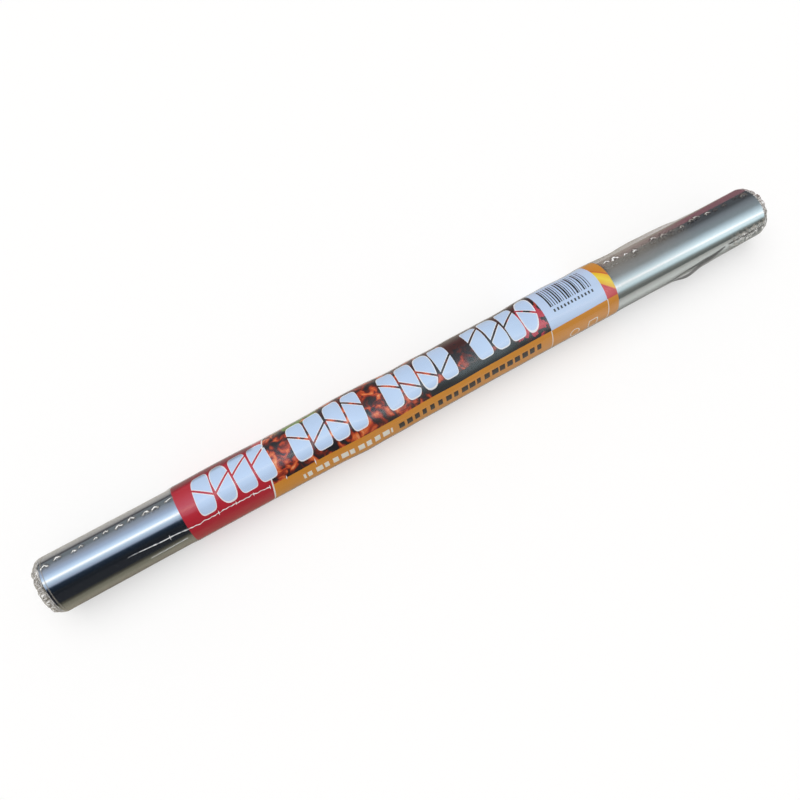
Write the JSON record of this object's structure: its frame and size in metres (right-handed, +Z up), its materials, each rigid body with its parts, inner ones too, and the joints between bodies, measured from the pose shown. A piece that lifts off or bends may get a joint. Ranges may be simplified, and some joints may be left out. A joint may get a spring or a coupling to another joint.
{
  "type": "aluminium foil roll",
  "caption": "Household aluminium foil wound on a cardboard core, with a loose printed paper wrap round its middle, sealed in clear shrink film with gathered ends.",
  "frame": {"origin": "on the surface that the roll lies on, below the middle of the roll", "axes": "+X along the roll, towards the end where the film is slack; +Y to the side of the film's seal; +Z up"},
  "size_m": [0.5166, 0.039, 0.037],
  "materials": {
    "core_board": "matt grey-brown spiral-wound board",
    "foil": "bright rolled foil, shiny side out",
    "printed_paper": "gloss-coated paper printed red, dark, gold and pale blue",
    "clear_film": "clear glossy shrink film"
  },
  "bodies": {
    "root": {"core_tube": "core_board", "foil_roll": "foil", "label": "printed_paper", "shrink_film": "clear_film"}
  },
  "joints": []
}
